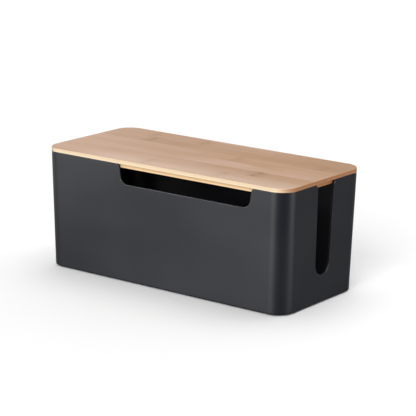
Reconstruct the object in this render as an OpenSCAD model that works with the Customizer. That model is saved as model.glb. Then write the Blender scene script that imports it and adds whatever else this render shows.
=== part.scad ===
// Desk cable box: a drafted moulded tub with cable openings, a two-board lift-off lid and four rubber feet.
// Origin: centre of the footprint, on the surface that the feet stand on. +X right, +Y to the rear, +Z up.

/* [Tub] */
// Length over the end walls at the rim
box_length = 310; // [260:1:400]
// Depth from the front wall to the rear wall at the rim
box_depth = 140; // [110:1:180]
// Height of the tub from its underside to its rim
tub_height = 125; // [100:1:160]
// Thickness of the four walls
wall_thickness = 2.4; // [1.8:0.1:4]
// Thickness of the base
base_thickness = 2.6; // [2.2:0.1:4]
// Radius of the upright corners
corner_radius = 18.5; // [12:0.5:28]
// Angle by which the walls lean outwards from base to rim
draft_angle = 1.3; // [0.5:0.05:2]
// Rounding where the walls meet the underside
base_edge_radius = 1.5; // [1:0.1:2.4]
// Rounding where the walls meet the floor inside
floor_edge_radius = 3; // [1:0.5:6]

/* [Front notch] */
// Width of the notch at the rim, between its upright edges
notch_width = 166.0; // [80:0.1:180]
// Distance of the notch's middle to the right of the box's middle
notch_offset = 30.1; // [0:0.1:34]
// Depth of the notch below the rim
notch_depth = 20.7; // [12:0.1:30]
// Inside radius of the notch's two bottom corners
notch_bottom_radius = 9; // [4:0.5:10]
// Outside radius where the notch meets the rim
notch_lip_radius = 4; // [1:0.5:6]
// Angle by which the notch's ends lean outwards
notch_side_angle = 3; // [0:0.5:6]

/* [Cable slots] */
// Width of a slot where it meets the rim
slot_width = 28.4; // [20:0.1:40]
// Radius of the slot's round bottom
slot_bottom_radius = 12.4; // [8:0.1:13]
// Height of the slot's lowest point above the underside
slot_floor_height = 29; // [20:1:70]
// Outside radius where the slot meets the rim
slot_lip_radius = 5.5; // [2:0.5:8]
// Distance of the slots behind the box's middle
slot_offset = 0.6; // [-5:0.1:5]

/* [Lid] */
// Thickness of the upper board
top_board_thickness = 4.4; // [3:0.1:8]
// Thickness of the lower board, which drops inside the rim
locating_board_thickness = 4.4; // [3:0.1:8]
// Gap all round between the lower board and the walls
lid_clearance = 0.9; // [0.5:0.1:2]

/* [Feet] */
// Diameter of a foot
foot_diameter = 12; // [8:0.5:16]
// Height by which a foot stands below the underside
foot_drop = 1; // [0.6:0.1:3]
// Depth of the recess that holds a foot
foot_recess = 0.9; // [0.5:0.1:1.2]
// Gap all round between a foot and its recess
foot_gap = 0.4; // [0.3:0.1:1]
// Thickness of the adhesive disc on top of a foot
adhesive_thickness = 0.2; // [0.1:0.05:0.4]
// Rounding of a foot's lower edge
foot_edge_radius = 0.6; // [0.2:0.1:0.8]
// Distance of a foot's middle from the nearer end of the box
foot_end_inset = 27; // [22:1:50]
// Distance of a foot's middle from the nearer long side of the box
foot_side_inset = 25; // [22:1:40]

/* [Hidden] */

$fn = 64;
hull_fn = 48;
arc_steps = 8;
layer = 0.01;
past = 1;

underside_z = foot_drop;
rim_z = underside_z + tub_height;
floor_z = underside_z + base_thickness;
cut_through = wall_thickness * 4;

foot_x = box_length / 2 - foot_end_inset;
foot_y = box_depth / 2 - foot_side_inset;
foot_radius = foot_diameter / 2;
foot_height = foot_drop + foot_recess - adhesive_thickness;

plastic = [0.19, 0.19, 0.20];
bamboo = [0.77, 0.63, 0.51];
bamboo_edge = [0.90, 0.78, 0.62];
rubber = [0.08, 0.08, 0.08];
adhesive = [0.85, 0.85, 0.80];

// How far a wall has leaned inwards at height z, against its place at the rim
function lean(z) = (rim_z - z) * tan(draft_angle);

// Points along an arc about [cx, cy], from angle a to angle b
function arc(cx, cy, r, a, b) =
    [for (i = [0 : arc_steps]) let (t = a + (b - a) * i / arc_steps) [cx + r * cos(t), cy + r * sin(t)]];

// The outline [x, z] mirrored to the other side and joined to itself
function both_sides(half) = concat(half, [for (i = [len(half) - 1 : -1 : 0]) [-half[i][0], half[i][1]]]);

// One thin slice of a tub-shaped block, set in from the outer surface
module slice(z, inset) {
    x = box_length / 2 - lean(z) - corner_radius;
    y = box_depth / 2 - lean(z) - corner_radius;
    for (sx = [-1, 1], sy = [-1, 1])
        translate([sx * x, sy * y, z])
            cylinder(r = corner_radius - inset, h = layer, $fn = hull_fn);
}

// A closed block with leaning walls, from bottom_z to top_z, with its lower edge rounded
module drafted_block(inset, bottom_z, top_z, edge) {
    hull() {
        for (a = [0 : 30 : 90])
            slice(bottom_z + edge * (1 - cos(a)), inset + edge * (1 - sin(a)));
        slice(top_z - layer, inset);
    }
}

// Upright opening in the [x, z] plane that is open above the rim: lip arcs, leaning sides and bottom arcs
module opening_outline(top_half, bottom_half, bottom_z, bottom_radius, lip_radius) {
    lip = arc(top_half + lip_radius, rim_z - lip_radius, lip_radius, 90, 180);
    bottom = arc(bottom_half - bottom_radius, bottom_z + bottom_radius, bottom_radius, 0, -90);
    polygon(both_sides(concat([[top_half + lip_radius, rim_z + past]], lip, bottom)));
}

module front_notch() {
    half = notch_width / 2;
    translate([notch_offset, cut_through - box_depth / 2, 0])
        rotate([90, 0, 0])
            linear_extrude(height = cut_through + past)
                opening_outline(half, half - notch_depth * tan(notch_side_angle), rim_z - notch_depth,
                                notch_bottom_radius, notch_lip_radius);
}

// The cable slot in one end wall: side is -1 for the left end and 1 for the right end
module cable_slot(side) {
    translate([side * (box_length / 2 + past), slot_offset, 0])
        rotate([90, 0, -90 * side])
            linear_extrude(height = cut_through + past)
                opening_outline(slot_width / 2, slot_bottom_radius, underside_z + slot_floor_height,
                                slot_bottom_radius, slot_lip_radius);
}

module at_foot(sx, sy) {
    translate([sx * foot_x, sy * foot_y, 0])
        children();
}

module box_shell() {
    color(plastic)
        difference() {
            drafted_block(0, underside_z, rim_z, base_edge_radius);
            drafted_block(wall_thickness, floor_z, rim_z + past, floor_edge_radius);
            front_notch();
            cable_slot(-1);
            cable_slot(1);
            for (sx = [-1, 1], sy = [-1, 1])
                at_foot(sx, sy)
                    translate([0, 0, underside_z - past])
                        cylinder(r = foot_radius + foot_gap, h = foot_recess + past);
        }
}

// A flat board with the box's outline, set in all round
module board(inset, thickness) {
    r = corner_radius - inset;
    x = box_length / 2 - corner_radius;
    y = box_depth / 2 - corner_radius;
    linear_extrude(height = thickness) {
        square([2 * x, 2 * (y + r)], center = true);
        square([2 * (x + r), 2 * y], center = true);
        for (sx = [-1, 1], sy = [-1, 1])
            translate([sx * x, sy * y])
                circle(r = r);
    }
}

module lid_top_board() {
    color(bamboo)
        translate([0, 0, rim_z])
            board(0, top_board_thickness);
}

module lid_locating_board() {
    color(bamboo_edge)
        translate([0, 0, rim_z - locating_board_thickness])
            board(wall_thickness + lid_clearance, locating_board_thickness);
}

module foot(sx, sy) {
    e = foot_edge_radius;
    color(rubber)
        at_foot(sx, sy)
            rotate_extrude() {
                square([foot_radius - e, foot_height]);
                translate([0, e])
                    square([foot_radius, foot_height - e]);
                intersection() {
                    translate([foot_radius - e, e])
                        circle(r = e);
                    square([foot_radius, foot_height]);
                }
            }
}

module front_left_foot() {
    foot(-1, -1);
}

module front_right_foot() {
    foot(1, -1);
}

module rear_left_foot() {
    foot(-1, 1);
}

module rear_right_foot() {
    foot(1, 1);
}

module foot_adhesive_discs() {
    color(adhesive)
        for (sx = [-1, 1], sy = [-1, 1])
            at_foot(sx, sy)
                translate([0, 0, foot_height])
                    cylinder(r = foot_radius - foot_edge_radius, h = adhesive_thickness);
}

box_shell();
lid_top_board();
lid_locating_board();
front_left_foot();
front_right_foot();
rear_left_foot();
rear_right_foot();
foot_adhesive_discs();
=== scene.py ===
import math

import bpy
from mathutils import Matrix, Vector
from mathutils.geometry import delaunay_2d_cdt


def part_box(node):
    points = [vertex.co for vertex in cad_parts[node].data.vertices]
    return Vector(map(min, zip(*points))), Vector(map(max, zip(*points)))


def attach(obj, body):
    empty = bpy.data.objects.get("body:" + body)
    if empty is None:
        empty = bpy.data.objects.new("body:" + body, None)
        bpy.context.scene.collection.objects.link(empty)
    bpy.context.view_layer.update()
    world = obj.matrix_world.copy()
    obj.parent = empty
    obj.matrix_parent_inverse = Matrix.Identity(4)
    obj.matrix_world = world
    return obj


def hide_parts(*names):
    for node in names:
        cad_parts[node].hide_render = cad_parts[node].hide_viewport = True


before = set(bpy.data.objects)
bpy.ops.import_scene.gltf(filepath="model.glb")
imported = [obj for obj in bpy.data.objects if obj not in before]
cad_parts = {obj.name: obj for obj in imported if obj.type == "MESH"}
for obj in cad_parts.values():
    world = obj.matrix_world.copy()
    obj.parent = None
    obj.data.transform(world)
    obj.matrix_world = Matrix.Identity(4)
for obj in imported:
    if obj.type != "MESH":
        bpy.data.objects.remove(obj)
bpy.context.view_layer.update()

# A cable box: drafted plastic tub, bamboo lid of two boards, rubber feet. Lengths are in millimetres, in
# the CAD frame, and become metres as each mesh is made. +X is right, +Y the rear, +Z up.
MM = 0.001
UP = Vector((0, 0, 1))


def node_box(name):
    """The lowest and highest corners of a CAD node, in millimetres."""
    low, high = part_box(name)
    return low / MM, high / MM


# --- Sizes -----------------------------------------------------------------------------------------------
tub_low, tub_high = node_box("box_shell")
RIM_HALF_X = tub_high.x
RIM_HALF_Y = tub_high.y
UNDERSIDE_Z = tub_low.z
RIM_Z = tub_high.z
# Heights of the undersides of the lid's two boards
TOP_BOARD_Z = node_box("lid_top_board")[0].z
INNER_BOARD_Z = node_box("lid_locating_board")[0].z

# Thickness of the tub's walls and base, radius of its upright corners, and the angle of its leaning walls
WALL = 2.4
BASE = 2.6
CORNER = 18.5
DRAFT = math.radians(1.3)
# Roundings: walls to underside, walls to floor inside, and both edges of the rim
BASE_EDGE = 1.5
FLOOR_EDGE = 3.0
RIM_ROUND = 0.55

# Openings that cut the rim: half widths at the rim and above the bottom arcs, and the radii of the arcs
NOTCH = {
    "centre": 30.1,
    "top_half": 83.0,
    "bottom_half": 81.9,
    "bottom_z": RIM_Z - 20.7,
    "bottom_radius": 9.0,
    "lip_radius": 4.0,
}
SLOT = {
    "centre": 0.6,
    "top_half": 14.2,
    "bottom_half": 12.4,
    "bottom_z": UNDERSIDE_Z + 29.0,
    "bottom_radius": 12.4,
    "lip_radius": 5.5,
}
# A slot's bottom is one half circle: bottom arcs whose middles are nearer than this share their lowest point
ONE_POINT = 0.01

FOOT_NODES = ["front_left_foot", "front_right_foot", "rear_left_foot", "rear_right_foot"]
# Roundings of a foot's lower and upper edges
FOOT_EDGE = 0.6
FOOT_TOP_EDGE = 0.2
# The dish under a foot: its depth, and the radii of its flat, the bend round the flat and its rim, as
# shares of the foot's radius
DISH_DEPTH = 0.22
DISH_FLAT = 0.38
DISH_BEND = 0.45
DISH_RIM = 0.62
# Round recesses: radius, depth and edge rounding
FOOT_RECESS = (6.4, 0.9, 0.25)
GATE_MARK = (5.0, 0.4, 0.18)
EJECTOR_MARK = (4.0, 0.12, 0.05)
EJECTOR_PLACES = [(x, y) for x in (-110, 0, 110) for y in (-42, 42)]

# Roundings of the boards' edges
LID_TOP_ROUND = 1.1
LID_BOTTOM_ROUND = 0.45
INNER_BOARD_ROUND = 0.4

# Bamboo: width of a strip, place of one joint between strips, and height of the glue line between plies
STRIP_WIDTH = 21.3
STRIP_EDGE = -0.5
PLY_LINE = 2.8
# Growth nodes: x, y and strength
TOP_MARKS = [
    (-91, 31.5, 0.8),
    (-27, -53.7, 0.6),
    (66, -53.7, 0.6),
    (94, -32.4, 1.0),
    (-35, 52.8, 0.6),
    (-102, 52.8, 0.4),
    (38, 10.2, 0.35),
    (131, 31.5, 0.5),
]
UNDER_MARKS = [(-70, 10.2, 0.7), (52, -32.4, 0.6), (104, 31.5, 0.5), (-120, -53.7, 0.6)]

# Number of steps in an upright corner, an opening's arc, the rounding at the base or floor, a rim's or
# board's rounding, a recess's rounding, and a circle
CORNER_STEPS = 24
ARC_STEPS = 14
BASE_STEPS = 8
ROUND_STEPS = 5
RECESS_STEPS = 3
CIRCLE_STEPS = 48


# --- Camera ----------------------------------------------------------------------------------------------
# Azimuth 0 is the front. The distance is from the point that the camera looks at.
CAMERA_AZIMUTH = 36.44
CAMERA_ELEVATION = 14.13
CAMERA_ROLL = math.radians(0.915)
CAMERA_DISTANCE = 1903
LENS = 157.0
# What the camera looks at: a height above the tub's underside, and a shift to the view's right and up
TARGET_HEIGHT = 61.4
TARGET_RIGHT = 8.1
TARGET_UP = 11.6


def seen_from(azimuth, elevation):
    """The unit vector from the box towards these angles, in degrees, where azimuth 0 is the front."""
    turn = math.radians(azimuth)
    rise = math.radians(elevation)
    return Vector((math.sin(turn) * math.cos(rise), -math.cos(turn) * math.cos(rise), math.sin(rise)))


def add_camera():
    """A long lens above and to the right of the front, at a low angle, rolled by just under a degree."""
    back = seen_from(CAMERA_AZIMUTH, CAMERA_ELEVATION)
    side = UP.cross(back).normalized()
    over = back.cross(side)
    right = side * math.cos(CAMERA_ROLL) + over * math.sin(CAMERA_ROLL)
    up = over * math.cos(CAMERA_ROLL) - side * math.sin(CAMERA_ROLL)
    target = UP * (UNDERSIDE_Z + TARGET_HEIGHT) + right * TARGET_RIGHT + up * TARGET_UP
    camera = bpy.data.objects.new("camera", bpy.data.cameras.new("camera"))
    camera.data.sensor_width = 36
    camera.data.lens = LENS
    camera.data.clip_start = 0.05
    camera.data.clip_end = 30
    place = Matrix((right, up, back)).transposed().to_4x4()
    place.translation = (target + back * CAMERA_DISTANCE) * MM
    camera.matrix_world = place
    bpy.context.scene.collection.objects.link(camera)
    bpy.context.scene.camera = camera


# --- Mesh building ---------------------------------------------------------------------------------------
class Skin:
    """The points of one smooth closed surface, each with its true normal, and the faces between them."""

    def __init__(self):
        self.points = []
        self.normals = []
        self.faces = []

    def ring(self, pairs):
        """Adds (point, normal) pairs and returns their numbers."""
        first = len(self.points)
        for point, normal in pairs:
            self.points.append(point)
            self.normals.append(normal.normalized())
        return list(range(first, len(self.points)))

    def band(self, a, b):
        """Joins two closed rings of the same length with four-sided faces."""
        for i in range(len(a)):
            j = (i + 1) % len(a)
            self.faces.append((a[i], a[j], b[j], b[i]))

    def bands(self, rings):
        """Joins each closed ring to the next."""
        for a, b in zip(rings, rings[1:]):
            self.band(a, b)

    def panel(self, outline, flat, holes=()):
        """Fills a flat outline, less its holes. flat turns a point into its place in the panel's plane."""
        numbers = []
        spots = []
        edges = []
        rims = []
        for loop in [outline, *holes]:
            start = len(numbers)
            rim = [Vector(flat(self.points[n])) for n in loop]
            numbers += loop
            spots += rim
            edges += [(start + i, start + (i + 1) % len(loop)) for i in range(len(loop))]
            rims.append(rim)
        corners, _, faces, sources, _, _ = delaunay_2d_cdt(spots, edges, [], 0, 1e-6)
        for face in faces:
            middle = sum((corners[i] for i in face), Vector((0, 0))) / len(face)
            if inside(middle, rims[0]) and not any(inside(middle, rim) for rim in rims[1:]):
                self.faces.append(tuple(numbers[sources[i][0]] for i in face))

    def faces_out(self, face):
        """Does the order of a face's points turn it the way that its normals point?"""
        arms = [self.points[n] - self.points[face[0]] for n in face[1:]]
        turn = sum((a.cross(b) for a, b in zip(arms, arms[1:])), Vector())
        return turn.dot(sum((self.normals[n] for n in face), Vector())) > 0

    def make(self, name, material):
        """The mesh object, in metres, with its faces turned outwards and smooth normals."""
        faces = [face if self.faces_out(face) else face[::-1] for face in self.faces]
        mesh = bpy.data.meshes.new(name)
        mesh.from_pydata([point * MM for point in self.points], [], faces)
        mesh.polygons.foreach_set("use_smooth", [True] * len(mesh.polygons))
        mesh.normals_split_custom_set_from_vertices(self.normals)
        mesh.materials.append(material)
        thing = bpy.data.objects.new(name, mesh)
        bpy.context.scene.collection.objects.link(thing)
        return thing


def inside(spot, rim):
    """Is a flat spot inside a closed outline?"""
    hit = False
    for a, b in zip(rim, rim[1:] + rim[:1]):
        if (a.y > spot.y) != (b.y > spot.y) and spot.x < (b.x - a.x) * (spot.y - a.y) / (b.y - a.y) + a.x:
            hit = not hit
    return hit


def from_above(point):
    """A point's place in a level panel."""
    return point.x, point.y


def sweep(start, end, steps):
    """Angles from start to end, in radians, from degrees."""
    return [math.radians(start + (end - start) * i / steps) for i in range(steps + 1)]


# The box's corners, anticlockwise from the front right one, as signs of x and y
CORNERS = [(1, -1), (1, 1), (-1, 1), (-1, -1)]


def rounded_ring(half_x, half_y, radius, z, tilt):
    """A level rounded rectangle with arc middles at (half_x, half_y): points, and normals tilted up."""
    pairs = []
    for k, (sx, sy) in enumerate(CORNERS):
        for t in sweep(90 * k - 90, 90 * k, CORNER_STEPS):
            out = Vector((math.cos(t), math.sin(t), 0))
            point = Vector((sx * half_x, sy * half_y, z)) + out * radius
            pairs.append((point, out * math.cos(tilt) + UP * math.sin(tilt)))
    return pairs


def circle_ring(middle, radius, z, out, up):
    """A level circle at height z, about an upright axis through middle, whose normals have the given
    outward and upward shares."""
    pairs = []
    for i in range(CIRCLE_STEPS):
        t = 2 * math.pi * i / CIRCLE_STEPS
        away = Vector((math.cos(t), math.sin(t), 0))
        pairs.append((Vector((middle.x, middle.y, z)) + away * radius, away * out + UP * up))
    return pairs


def sunk_disc(skin, middle, level, size, face):
    """A round recess of size (radius, depth, edge rounding) in a level face, which looks up where face is
    1 and down where it is -1. Returns its rim."""
    radius, depth, edge = size
    profile = []
    for t in sweep(90, 0, RECESS_STEPS):
        profile.append((radius + edge * (1 - math.cos(t)), edge * (1 - math.sin(t)), t))
    for t in sweep(0, 90, RECESS_STEPS):
        profile.append((radius - edge * (1 - math.cos(t)), depth - edge * (1 - math.sin(t)), t))
    rings = []
    for reach, drop, t in profile:
        pairs = circle_ring(middle, reach, level - face * drop, -math.cos(t), face * math.sin(t))
        rings.append(skin.ring(pairs))
    skin.bands(rings)
    skin.panel(rings[-1], from_above)
    return rings[0]


# --- Materials -------------------------------------------------------------------------------------------
class Graph:
    """A material's node graph, with short calls for the nodes used here."""

    def __init__(self, name):
        self.material = bpy.data.materials.new(name)
        self.material.use_nodes = True
        self.nodes = self.material.node_tree.nodes
        self.links = self.material.node_tree.links
        self.shader = self.nodes["Principled BSDF"]

    def feed(self, socket, value):
        """Links an output to a socket, or sets the socket's own value."""
        if isinstance(value, bpy.types.NodeSocket):
            self.links.new(value, socket)
        else:
            socket.default_value = value

    def place(self):
        """A point's place in the CAD frame, in metres."""
        return self.nodes.new("ShaderNodeTexCoord").outputs["Object"]

    def math(self, operation, a, b=0.0):
        node = self.nodes.new("ShaderNodeMath")
        node.operation = operation
        self.feed(node.inputs[0], a)
        self.feed(node.inputs[1], b)
        return node.outputs[0]

    def add(self, a, b):
        return self.math("ADD", a, b)

    def less(self, a, b):
        return self.math("SUBTRACT", a, b)

    def times(self, a, b):
        return self.math("MULTIPLY", a, b)

    def size_of(self, a):
        return self.math("ABSOLUTE", a)

    def scaled(self, vector, scale):
        """A place stretched for a noise of that many features a metre along X, Y and Z."""
        node = self.nodes.new("ShaderNodeVectorMath")
        node.operation = "MULTIPLY"
        self.feed(node.inputs[0], vector)
        node.inputs[1].default_value = scale
        return node.outputs[0]

    def split(self, vector):
        node = self.nodes.new("ShaderNodeSeparateXYZ")
        self.feed(node.inputs[0], vector)
        return node.outputs

    def join(self, x, y, z):
        node = self.nodes.new("ShaderNodeCombineXYZ")
        for socket, value in zip(node.inputs, (x, y, z)):
            self.feed(socket, value)
        return node.outputs[0]

    def noise(self, vector, scale, detail, roughness=0.5):
        node = self.nodes.new("ShaderNodeTexNoise")
        self.feed(node.inputs["Vector"], vector)
        node.inputs["Scale"].default_value = scale
        node.inputs["Detail"].default_value = detail
        node.inputs["Roughness"].default_value = roughness
        return node.outputs["Fac"]

    def random(self, value):
        """A fixed number from 0 to 1 for each value."""
        node = self.nodes.new("ShaderNodeTexWhiteNoise")
        node.noise_dimensions = "1D"
        self.feed(node.inputs["W"], value)
        return node.outputs["Value"]

    def span(self, value, low, high, to_low=0.0, to_high=1.0):
        """Maps value from low..high to to_low..to_high, held at the ends."""
        node = self.nodes.new("ShaderNodeMapRange")
        for socket, number in zip(node.inputs[:5], (value, low, high, to_low, to_high)):
            self.feed(socket, number)
        return node.outputs[0]

    def smooth(self, value, low, high, to_low=0.0, to_high=1.0):
        """Does what span does, along a smooth curve."""
        result = self.span(value, low, high, to_low, to_high)
        result.node.interpolation_type = "SMOOTHSTEP"
        return result

    def mix(self, share, a, b):
        """The colour a, with the given share of the colour b."""
        node = self.nodes.new("ShaderNodeMix")
        node.data_type = "RGBA"
        self.feed(node.inputs[0], share)
        self.feed(node.inputs[6], a)
        self.feed(node.inputs[7], b)
        return node.outputs[2]

    def bump(self, height, distance, strength):
        """A normal that leans with height, whose full range stands for the given distance in metres."""
        node = self.nodes.new("ShaderNodeBump")
        node.inputs["Strength"].default_value = strength
        node.inputs["Distance"].default_value = distance
        self.feed(node.inputs["Height"], height)
        return node.outputs[0]

    def normal_out(self):
        return self.nodes.new("ShaderNodeNewGeometry").outputs["Normal"]


def shaded(base, factor):
    """A colour made darker or lighter, and a little redder as it darkens."""
    return (base[0] * factor ** 0.85, base[1] * factor, base[2] * factor ** 1.15, 1.0)


def colour(red, green, blue):
    """A colour given in screen values from 11 to 255, as the shader's linear numbers."""
    linear = [((c / 255 + 0.055) / 1.055) ** 2.4 for c in (red, green, blue)]
    return (*linear, 1.0)


def tub_plastic(name, dark, light, fleck, roughness, gloss):
    """Dark grey moulded plastic, between the tones dark and light, with slight flow marks, pale flecks and
    a very fine spark-eroded texture."""
    g = Graph(name)
    at = g.place()
    flow = g.noise(g.scaled(at, (6, 6, 14)), 1.0, 3.0)
    grain = g.noise(at, 2600.0, 2.0, 0.6)
    speck = g.noise(at, 900.0, 3.0, 0.6)
    tone = g.mix(g.span(flow, 0.35, 0.65), dark, light)
    g.feed(g.shader.inputs["Base Color"], g.mix(g.span(speck, 0.3, 0.7, 0.0, 0.25), tone, fleck))
    uneven = g.add(g.span(flow, 0.3, 0.7, -0.03, 0.03), g.span(grain, 0.3, 0.7, -0.02, 0.02))
    g.feed(g.shader.inputs["Roughness"], g.add(uneven, roughness))
    g.shader.inputs["Specular IOR Level"].default_value = gloss
    g.feed(g.shader.inputs["Normal"], g.bump(grain, 0.02 * MM, 0.5))
    return g.material


class Grain:
    """What the layers of a bamboo board are drawn from: places, a number for each strip, and noises."""

    def __init__(self, g, seed):
        self.at = g.place()
        self.x, self.y, self.z = g.split(self.at)[:3]
        self.across = g.math("DIVIDE", g.less(self.y, STRIP_EDGE * MM), STRIP_WIDTH * MM)
        self.strip = g.math("FLOOR", self.across)
        self.own = g.random(g.add(self.strip, seed))
        along = g.join(g.add(self.x, self.own), self.y, self.z)
        self.cloud = g.noise(g.scaled(along, (9, 34, 34)), 1.0, 3.0)
        self.streak = g.noise(g.scaled(along, (4, 300, 300)), 1.0, 3.0, 0.6)
        self.fibre = g.noise(g.scaled(along, (14, 1700, 1700)), 1.0, 3.0, 0.6)
        self.bundle = g.noise(g.scaled(along, (70, 2600, 2600)), 1.0, 1.0)


def growth_nodes(g, grain, tone, marks):
    """Growth nodes at marks, (x, y, strength): a ragged brown smudge across one strip, a soft stain round
    it, and a new tone beyond it. Returns the tone, smudge and stain."""
    coarse = g.noise(g.scaled(grain.at, (60, 300, 300)), 1.0, 3.0)
    ragged = g.times(g.span(coarse, 0.3, 0.7, -1, 1), 2.6 * MM)
    smudge = 0.0
    stain = 0.0
    for mark_x, mark_y, strength in marks:
        past = g.add(g.less(grain.x, mark_x * MM), ragged)
        gap = g.size_of(past)
        reach = g.size_of(g.less(grain.y, mark_y * MM))
        within = g.span(reach, (STRIP_WIDTH / 2 - 0.9) * MM, (STRIP_WIDTH / 2 + 0.1) * MM, strength, 0.0)
        smudge = g.math("MAXIMUM", smudge, g.times(within, g.smooth(gap, 0.6 * MM, 5.6 * MM, 1.0, 0.0)))
        stain = g.math("MAXIMUM", stain, g.times(within, g.smooth(gap, 0.0, 18 * MM, 1.0, 0.0)))
        tone = g.add(tone, g.times(within, g.smooth(past, -2 * MM, 2 * MM, 0.0, 0.35)))
    broken = g.noise(g.scaled(grain.at, (200, 260, 260)), 1.0, 3.0)
    return tone, g.times(smudge, g.span(broken, 0.40, 0.62, 0.1, 1.0)), stain


def strip_seams(g, grain):
    """The glued joints between the strips, as thin lines that come and go."""
    part = g.less(grain.across, grain.strip)
    edge = g.math("MINIMUM", part, g.less(1.0, part))
    return g.times(g.smooth(edge, 0.003, 0.014, 1.0, 0.0), g.span(grain.streak, 0.35, 0.65, 0.05, 0.4))


def sanded_face(g, grain, tone, smudge, stain, seam, pale, warm, painted_sheen):
    """The colour of a board's level faces: the strips' own tones, under layers that each cover a share."""
    # Painted shade: the faces darken towards the rear, and more towards the right rear corner.
    rear = g.smooth(grain.y, -15 * MM, 50 * MM, 0.0, 0.22)
    corner = g.smooth(g.add(grain.x, grain.y), 80 * MM, 215 * MM, 0.0, 0.27)
    # Painted sheen: the front strip pales towards painted_sheen, fading out at the far left end.
    front = g.smooth(grain.y, -68 * MM, -30 * MM, 0.33, 0.0)
    front = g.times(front, g.smooth(grain.x, -125 * MM, -60 * MM, 0.0, 1.0))
    patchy = g.mix(grain.own, shaded(warm, 0.90), shaded(pale, 1.10))
    face = g.mix(tone, pale, warm)
    for share, layer in [
        (g.span(grain.cloud, 0.35, 0.65, 0.0, 0.9), patchy),
        (g.span(grain.streak, 0.38, 0.70, 0.0, 0.46), shaded(warm, 0.76)),
        (g.span(grain.fibre, 0.45, 0.8, 0.0, 0.32), shaded(warm, 0.62)),
        (g.span(grain.bundle, 0.66, 0.76, 0.0, 0.30), shaded(warm, 0.45)),
        (g.times(stain, 0.36), shaded(warm, 0.66)),
        (g.times(smudge, 0.74), shaded(warm, 0.42)),
        # painted shade towards the rear and the right rear corner
        (g.add(rear, corner), shaded(warm, 0.70)),
        # painted sheen at the front
        (front, painted_sheen),
        (seam, shaded(warm, 0.62)),
    ]:
        face = g.mix(share, face, layer)
    return face


def sawn_edges(g, grain, bottom_z, side, ends):
    """The colour of a board's long edges and of its ends, where the plies show: a darker line of glue, and
    a painted light that makes the lowest band paler. The ends show the fibres cut across."""
    height = g.less(grain.z, bottom_z * MM)
    wander = g.span(g.noise(g.scaled(grain.at, (20, 20, 200)), 1.0, 2.0), 0.3, 0.7, -0.15 * MM, 0.15 * MM)
    glue = g.size_of(g.add(g.less(height, PLY_LINE * MM), wander))
    glue = g.smooth(glue, 0.25 * MM, 0.75 * MM, 1.0, 0.0)
    # Painted light: the lowest band of the edges and ends is made paler.
    lowest = g.smooth(height, 0.8 * MM, 1.7 * MM, 1.0, 0.0)
    rim = g.mix(g.span(grain.streak, 0.35, 0.7, 0.0, 0.3), side, shaded(side, 0.84))
    rim = g.mix(g.span(grain.bundle, 0.62, 0.74, 0.0, 0.3), rim, shaded(side, 0.6))
    rim = g.mix(g.times(glue, 0.28), rim, shaded(side, 0.72))
    rim = g.mix(g.times(lowest, 0.5), rim, shaded(side, 1.12))
    pore = g.noise(g.scaled(grain.at, (300, 1500, 1500)), 1.0, 2.0)
    layer = g.noise(g.scaled(grain.at, (1, 60, 700)), 1.0, 2.0)
    cut = g.mix(g.span(pore, 0.38, 0.68), shaded(ends, 1.18), shaded(ends, 0.72))
    cut = g.mix(g.span(layer, 0.35, 0.65, 0.0, 0.3), cut, shaded(ends, 0.75))
    cut = g.mix(g.times(glue, 0.55), cut, shaded(ends, 0.55))
    facing_x = g.split(g.normal_out())[0]
    return g.mix(g.smooth(g.size_of(facing_x), 0.22, 1.12), rim, cut)


def bamboo(name, bottom_z, marks, seed, pale, warm, painted_sheen, side, ends):
    """Bamboo strips glued edge to edge along X, in plies. pale and warm are the two tones of the strips,
    and painted_sheen is the colour that they pale towards at the front, a painted sheen. side is the colour
    of the long edges, ends that of the end grain, and bottom_z the height of the board's underside."""
    g = Graph(name)
    grain = Grain(g, seed)
    # Each strip's own random tone, plus a painted sheen: paler at the left end, warmer at the right.
    tone = g.add(g.times(grain.own, 0.6), g.smooth(grain.x, -150 * MM, 150 * MM, 0.0, 0.5))
    tone, smudge, stain = growth_nodes(g, grain, tone, marks)
    seam = strip_seams(g, grain)
    face = sanded_face(g, grain, tone, smudge, stain, seam, pale, warm, painted_sheen)
    rim = sawn_edges(g, grain, bottom_z, side, ends)
    facing_z = g.split(g.normal_out())[2]
    g.feed(g.shader.inputs["Base Color"], g.mix(g.smooth(g.size_of(facing_z), 0.3, 0.8), rim, face))
    g.feed(g.shader.inputs["Roughness"], g.span(grain.fibre, 0.2, 0.8, 0.48, 0.60))
    g.shader.inputs["Specular IOR Level"].default_value = 0.40
    relief = g.less(g.times(grain.fibre, 0.6), g.add(seam, g.times(smudge, 0.5)))
    g.feed(g.shader.inputs["Normal"], g.bump(relief, 0.05 * MM, 0.5))
    return g.material


def rubber():
    """Black rubber, dull, with a little dust-grey mottling."""
    g = Graph("foot_rubber")
    at = g.place()
    mottle = g.noise(at, 700.0, 3.0)
    tone = g.mix(g.span(mottle, 0.35, 0.7), colour(24, 24, 25), colour(38, 38, 39))
    g.feed(g.shader.inputs["Base Color"], tone)
    g.feed(g.shader.inputs["Roughness"], g.span(mottle, 0.3, 0.7, 0.7, 0.85))
    g.feed(g.shader.inputs["Normal"], g.bump(g.noise(at, 3000.0, 2.0), 0.03 * MM, 0.6))
    return g.material


def adhesive():
    """Milky adhesive film."""
    g = Graph("foot_adhesive")
    speck = g.noise(g.place(), 1500.0, 2.0)
    tone = g.mix(g.span(speck, 0.3, 0.7), colour(205, 203, 190), colour(222, 220, 210))
    g.feed(g.shader.inputs["Base Color"], tone)
    g.shader.inputs["Roughness"].default_value = 0.35
    g.feed(g.shader.inputs["Normal"], g.bump(speck, 0.02 * MM, 0.4))
    return g.material


def paper():
    """Matt near-white studio paper."""
    g = Graph("studio_paper")
    shade = g.noise(g.place(), 3.0, 2.0)
    g.feed(g.shader.inputs["Base Color"], g.mix(shade, colour(246, 246, 246), colour(250, 250, 250)))
    g.shader.inputs["Roughness"].default_value = 1.0
    g.shader.inputs["Specular IOR Level"].default_value = 0.0
    return g.material


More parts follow.
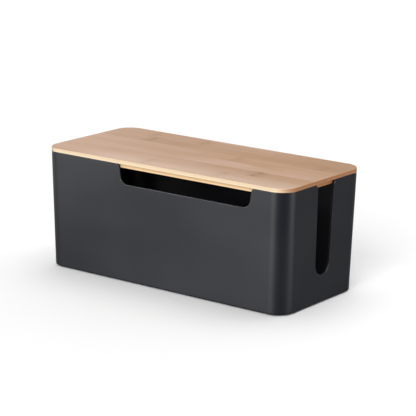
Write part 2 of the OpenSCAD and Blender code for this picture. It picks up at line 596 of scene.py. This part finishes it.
# --- Tub -------------------------------------------------------------------------------------------------
# The four walls, anticlockwise from the front one, each followed by the corner of the same number: the way
# along each and the way out of it.
WALLS = [
    (Vector((1, 0, 0)), Vector((0, -1, 0))),
    (Vector((0, 1, 0)), Vector((1, 0, 0))),
    (Vector((-1, 0, 0)), Vector((0, 1, 0))),
    (Vector((0, -1, 0)), Vector((-1, 0, 0))),
]


def lean(z):
    """How far a wall has leaned inwards at height z."""
    return (RIM_Z - z) * math.tan(DRAFT)


def wall_half(k, z):
    """Distance from the box's middle to the outside of wall k at height z."""
    return (RIM_HALF_Y if k % 2 == 0 else RIM_HALF_X) - lean(z)


def corner_middle(k, z):
    """The middle of corner k's arc at height z."""
    sx, sy = CORNERS[k]
    return Vector((sx * (RIM_HALF_X - lean(z) - CORNER), sy * (RIM_HALF_Y - lean(z) - CORNER), z))


def opening_path(centre, top_half, bottom_half, bottom_z, bottom_radius, lip_radius):
    """An opening's edge from left to right: (place along the wall, z, normal along it, normal up)."""
    lip_u = top_half + lip_radius
    lip_z = RIM_Z - lip_radius
    low_u = bottom_half - bottom_radius
    low_z = bottom_z + bottom_radius
    run = lip_u - low_u
    rise = low_z - lip_z
    slant = math.atan2(rise, run) + math.acos((bottom_radius + lip_radius) / math.hypot(run, rise))
    slant = math.degrees(slant)
    right = []
    for t in sweep(90, 180 - slant, ARC_STEPS):
        out = math.cos(t)
        up = math.sin(t)
        right.append((lip_u + lip_radius * out, lip_z + lip_radius * up, out, up))
    for t in sweep(-slant, -90, ARC_STEPS * 2):
        out = math.cos(t)
        up = math.sin(t)
        right.append((low_u + bottom_radius * out, low_z + bottom_radius * up, -out, -up))
    left = [(-u, z, -mu, mz) for u, z, mu, mz in right]
    if low_u < ONE_POINT:
        right.pop()
    return [(centre + u, z, mu, mz) for u, z, mu, mz in [*left, *right[::-1]]]


def rim_path():
    """The tub's one free edge, all round: rim, notch and slots. Each entry is ("wall", its number, a point
    of an opening) or ("corner", its number, an angle)."""
    openings = {
        0: opening_path(**NOTCH),
        1: opening_path(**SLOT),
        3: opening_path(**{**SLOT, "centre": -SLOT["centre"]}),
    }
    path = []
    for k in range(4):
        path += [("wall", k, spot) for spot in openings.get(k, [])]
        path += [("corner", k, t) for t in sweep(90 * k - 90, 90 * k, CORNER_STEPS)]
    return path


def edge_ring(path, back, depth, angle):
    """The rim path, moved by back along the wall's face and by depth into its thickness. The normals are
    turned by angle from the outer face to the free edge."""
    pairs = []
    for kind, k, spot in path:
        if kind == "wall":
            u, z, mu, mz = spot
            along, out = WALLS[k]
            z += mz * back
            point = out * (wall_half(k, z) - depth) + along * (u + mu * back) + UP * z
            edge = along * mu + UP * mz
        else:
            out = Vector((math.cos(spot), math.sin(spot), 0))
            point = corner_middle(k, RIM_Z + back) + out * (CORNER - depth)
            edge = UP
        face = out * math.cos(DRAFT) - UP * math.sin(DRAFT)
        pairs.append((point, edge * math.sin(angle) + face * math.cos(angle)))
    return pairs


def tub_rings(skin, edge, level, thickness, face):
    """The rounding between a wall's face and the level face it meets: face is 1 outside and -1 inside."""
    middle_z = level + edge
    turn_z = middle_z - edge * math.sin(DRAFT)
    half_x = RIM_HALF_X - lean(turn_z) - CORNER
    half_y = RIM_HALF_Y - lean(turn_z) - CORNER
    inner = CORNER - thickness - edge * math.cos(DRAFT)
    rings = []
    for t in sweep(math.degrees(DRAFT), 90, BASE_STEPS):
        pairs = rounded_ring(half_x, half_y, inner + edge * math.cos(t), middle_z - edge * math.sin(t), -t)
        rings.append(skin.ring([(point, normal * face) for point, normal in pairs]))
    return rings


def wall_faces(skin, path, top, bottom):
    """The four flat wall panels and the four corners, from a ring under the rim to one above the base."""
    starts = []
    for i, (kind, k, _) in enumerate(path):
        if kind == "corner" and path[i - 1][:2] != (kind, k):
            starts.append(i)
    for k in range(4):
        here = starts[k]
        low = k * (CORNER_STEPS + 1)
        for i in range(CORNER_STEPS):
            skin.faces.append((top[here + i], top[here + i + 1], bottom[low + i + 1], bottom[low + i]))
        before = starts[k - 1] + CORNER_STEPS
        run = [before + i for i in range((here - before) % len(path) + 1)]
        outline = [top[i % len(path)] for i in run]
        outline += [bottom[low], bottom[low - 1]]
        along = WALLS[k][0]
        skin.panel(outline, lambda p, a=along: (p.dot(a), p.z))


def rim_rings(skin, path, start, centre):
    """A quarter turn of the rim's rounding from the angle start. centre is its depth in the wall."""
    rings = []
    for t in sweep(start, start + 90, ROUND_STEPS):
        back = RIM_ROUND * (math.sin(t) - 1)
        rings.append(skin.ring(edge_ring(path, back, centre - RIM_ROUND * math.cos(t), t)))
    return rings


def make_tub(outside, inside_painted_light, rim):
    """The drafted tub as one closed skin with every edge rounded, in one material outside, one inside and
    one on the flat of the rim. The inside's copy of the plastic is paler, a painted light, and the rim's
    copy is darker, a painted shade."""
    skin = Skin()
    path = rim_path()
    outer_edge = rim_rings(skin, path, 0, RIM_ROUND)
    inner_edge = rim_rings(skin, path, 90, WALL - RIM_ROUND)
    skin.bands(outer_edge)
    outer = tub_rings(skin, BASE_EDGE, UNDERSIDE_Z, 0.0, 1)
    skin.bands(outer)
    wall_faces(skin, path, outer_edge[0], outer[0])
    recesses = []
    for name in FOOT_NODES:
        low, high = node_box(name)
        recesses.append(sunk_disc(skin, (low + high) / 2, UNDERSIDE_Z, FOOT_RECESS, -1))
    recesses.append(sunk_disc(skin, Vector((0, 0, 0)), UNDERSIDE_Z, GATE_MARK, -1))
    skin.panel(outer[-1], from_above, recesses)

    first_rim = len(skin.faces)
    skin.band(outer_edge[-1], inner_edge[0])

    first_inside = len(skin.faces)
    skin.bands(inner_edge)
    inner = tub_rings(skin, FLOOR_EDGE, UNDERSIDE_Z + BASE, WALL, -1)
    skin.bands(inner)
    wall_faces(skin, path, inner_edge[-1], inner[0])
    marks = []
    for x, y in EJECTOR_PLACES:
        marks.append(sunk_disc(skin, Vector((x, y, 0)), UNDERSIDE_Z + BASE, EJECTOR_MARK, 1))
    skin.panel(inner[-1], from_above, marks)

    tub = skin.make("tub", outside)
    # the inside's paler copy of the plastic, painted light
    tub.data.materials.append(inside_painted_light)
    # the rim's darker copy of the plastic, painted shade
    tub.data.materials.append(rim)
    for polygon in tub.data.polygons[first_rim:first_inside]:
        polygon.material_index = 2
    for polygon in tub.data.polygons[first_inside:]:
        polygon.material_index = 1
    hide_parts("box_shell")
    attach(tub, "box")
    return tub


# --- Lid -------------------------------------------------------------------------------------------------
def make_board(name, node, material, top_round, bottom_round):
    """A flat board with the CAD node's outline and rounded edges."""
    low, high = node_box(node)
    radius = CORNER - (RIM_HALF_X - high.x)
    half_x = high.x - radius
    half_y = high.y - radius
    profile = []
    for t in sweep(-90, 0, ROUND_STEPS):
        profile.append((bottom_round * (1 - math.cos(t)), low.z + bottom_round * (1 + math.sin(t)), t))
    for t in sweep(0, 90, ROUND_STEPS):
        profile.append((top_round * (1 - math.cos(t)), high.z - top_round * (1 - math.sin(t)), t))
    skin = Skin()
    rings = [skin.ring(rounded_ring(half_x, half_y, radius - inset, z, t)) for inset, z, t in profile]
    skin.bands(rings)
    skin.panel(rings[0], from_above)
    skin.panel(rings[-1], from_above)
    board = skin.make(name, material)
    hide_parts(node)
    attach(board, "lid")
    return board


# --- Feet ------------------------------------------------------------------------------------------------
def make_foot(name, material):
    """A round rubber foot with a rounded tread edge and a shallow dish in its underside."""
    low, high = node_box(name)
    middle = (low + high) / 2
    radius = (high.x - low.x) / 2
    tread = radius - FOOT_EDGE
    # radius, height above the foot's lowest point, and the normal's outward and upward shares
    profile = [
        (radius * DISH_FLAT, DISH_DEPTH, 0.0, -1.0),
        (radius * DISH_BEND, DISH_DEPTH, -0.1, -1.0),
        (radius * DISH_RIM, 0.0, -0.1, -1.0),
    ]
    for t in sweep(-90, 0, ROUND_STEPS):
        height = FOOT_EDGE * (1 + math.sin(t))
        profile.append((tread + FOOT_EDGE * math.cos(t), height, math.cos(t), math.sin(t)))
    for t in sweep(0, 90, RECESS_STEPS):
        height = high.z - low.z - FOOT_TOP_EDGE * (1 - math.sin(t))
        profile.append((radius - FOOT_TOP_EDGE * (1 - math.cos(t)), height, math.cos(t), math.sin(t)))
    skin = Skin()
    rings = [skin.ring(circle_ring(middle, r, low.z + h, out, up)) for r, h, out, up in profile]
    skin.bands(rings)
    skin.panel(rings[0], from_above)
    skin.panel(rings[-1], from_above)
    foot = skin.make(name + "_rubber", material)
    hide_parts(name)
    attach(foot, "box")
    return foot


# --- Stage -----------------------------------------------------------------------------------------------
STAGE_HALF = 6000.0
BACKDROP_Y = 3000.0
BACKDROP_BEND = 1500.0
BACKDROP_STEPS = 16


def make_stage():
    """A pale floor that curves up into a backdrop."""
    # place along Y, height, and the angle of the normal in the YZ plane, in degrees
    rows = [(-STAGE_HALF, 0.0, 90.0)]
    for t in sweep(0, 90, BACKDROP_STEPS):
        reach = BACKDROP_Y + BACKDROP_BEND * math.sin(t)
        rows.append((reach, BACKDROP_BEND * (1 - math.cos(t)), 90 + math.degrees(t)))
    rows.append((BACKDROP_Y + BACKDROP_BEND, STAGE_HALF, 180.0))
    skin = Skin()
    strips = []
    for y, z, turn in rows:
        normal = Vector((0, math.cos(math.radians(turn)), math.sin(math.radians(turn))))
        strips.append(skin.ring([(Vector((x, y, z)), normal) for x in (-STAGE_HALF, STAGE_HALF)]))
    for a, b in zip(strips, strips[1:]):
        skin.faces.append((a[0], a[1], b[1], b[0]))
    floor = skin.make("studio_floor", paper())
    floor.visible_glossy = False


# --- Light -----------------------------------------------------------------------------------------------
# Every light faces this height above the floor. Its azimuth and elevation are in degrees, azimuth 0 is the
# front, and its distance and size are in metres.
LIT_HEIGHT = 65
WASH_DISTANCE = 3.0
# Washes only add to matt surfaces: azimuth, elevation, irradiance over pi on a surface that faces them,
# and the angle that they fill.
WASHES = [
    ("front_wash", 18, 30, 0.68, 38),
    ("overhead_wash", 200, 81, 0.50, 60),
]
# Cards only show in gloss, as a reflector does: azimuth, elevation, distance, (width, height), power and
# the pieces that they reach.
CARDS = [
    ("front_card", -11, 8, 3.0, (1.12, 0.75), 202.0, "tub"),
    ("front_left_card", -45, 10, 3.3, (1.2, 0.9), 118.0, "tub"),
    ("left_card", -97, 8, 2.0, (0.7, 0.5), 43.0, "tub"),
    ("rear_card", 205, 8, 2.0, (0.75, 0.5), 60.0, "tub"),
    ("right_rear_card", 172, 8, 2.0, (0.75, 0.5), 18.0, "tub"),
    ("right_card", 105, 8, 2.0, (0.26, 0.5), 58.0, "tub"),
    ("lid_sheen", 238, 20, 2.2, (1.2, 0.8), 4.5, "lid"),
    ("lid_corner_sheen", 100, 8, 2.0, (0.26, 0.5), 14.0, "lid"),
]
SURROUND = 0.15


def place_light(name, kind, azimuth, elevation, distance):
    """A light that faces the box from the given side. Returns its object."""
    away = seen_from(azimuth, elevation)
    light = bpy.data.objects.new(name, bpy.data.lights.new(name, kind))
    light.location = UP * LIT_HEIGHT * MM + away * distance
    light.rotation_mode = "QUATERNION"
    light.rotation_quaternion = away.to_track_quat("Z", "Y")
    bpy.context.scene.collection.objects.link(light)
    return light


def add_lights(pieces):
    """Washes and cards. pieces maps the name that a card gives to the objects that it reaches."""
    reached = {}
    for name, things in pieces.items():
        reached[name] = bpy.data.collections.new(name + "_gloss")
        for thing in things:
            reached[name].objects.link(thing)
    for name, azimuth, elevation, irradiance, angle in WASHES:
        light = place_light(name, "SUN", azimuth, elevation, WASH_DISTANCE)
        light.data.energy = irradiance * math.pi
        light.data.angle = math.radians(angle)
        light.visible_glossy = False
    for name, azimuth, elevation, distance, size, power, target in CARDS:
        light = place_light(name, "AREA", azimuth, elevation, distance)
        light.data.shape = "RECTANGLE"
        light.data.size = size[0]
        light.data.size_y = size[1]
        light.data.energy = power
        light.visible_diffuse = False
        light.light_linking.receiver_collection = reached[target]


def set_world():
    """An even pale surround."""
    world = bpy.data.worlds.new("studio")
    world.use_nodes = True
    surround = world.node_tree.nodes["Background"]
    surround.inputs["Color"].default_value = (1.0, 1.0, 1.0, 1.0)
    surround.inputs["Strength"].default_value = SURROUND
    bpy.context.scene.world = world
    bpy.context.scene.view_settings.view_transform = "Standard"


# --- Scene -----------------------------------------------------------------------------------------------
add_camera()
tub = make_tub(
    outside=tub_plastic(
        "tub_plastic", dark=colour(20, 22, 30), light=colour(23, 25, 33), fleck=colour(30, 32, 40),
        roughness=0.37, gloss=0.30,
    ),
    # A paler copy of the same plastic, with less gloss: painted light on the inside of the tub.
    inside_painted_light=tub_plastic(
        "tub_plastic_inside_painted_light", dark=colour(42, 42, 47), light=colour(46, 46, 51), fleck=colour(52, 52, 57),
        roughness=0.62, gloss=0.04,
    ),
    # A darker, duller copy of the plastic on the rim's flat and the openings' cut faces: painted shade.
    rim=tub_plastic(
        "tub_plastic_rim_painted_shade", dark=colour(18, 19, 24), light=colour(20, 21, 26), fleck=colour(26, 27, 32),
        roughness=0.62, gloss=0.04,
    ),
)
face_bamboo = bamboo(
    "bamboo_face", TOP_BOARD_Z, TOP_MARKS, seed=3.0,
    pale=colour(206, 173, 152), warm=colour(193, 155, 123), painted_sheen=colour(235, 213, 198),
    side=colour(242, 218, 184), ends=colour(182, 119, 72),
)
core_bamboo = bamboo(
    "bamboo_core", INNER_BOARD_Z, UNDER_MARKS, seed=17.0,
    pale=colour(222, 190, 152), warm=colour(210, 172, 130), painted_sheen=colour(222, 190, 152),
    side=colour(243, 208, 160), ends=colour(190, 124, 66),
)
lid_top = make_board(
    "lid_top", "lid_top_board", face_bamboo, LID_TOP_ROUND, LID_BOTTOM_ROUND,
)
lid_under = make_board(
    "lid_under", "lid_locating_board", core_bamboo, INNER_BOARD_ROUND, INNER_BOARD_ROUND,
)
foot_material = rubber()
feet = [make_foot(name, foot_material) for name in FOOT_NODES]
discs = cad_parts["foot_adhesive_discs"]
discs.data.materials.clear()
discs.data.materials.append(adhesive())
make_stage()
add_lights({"tub": [tub, *feet], "lid": [lid_top, lid_under]})
set_world()
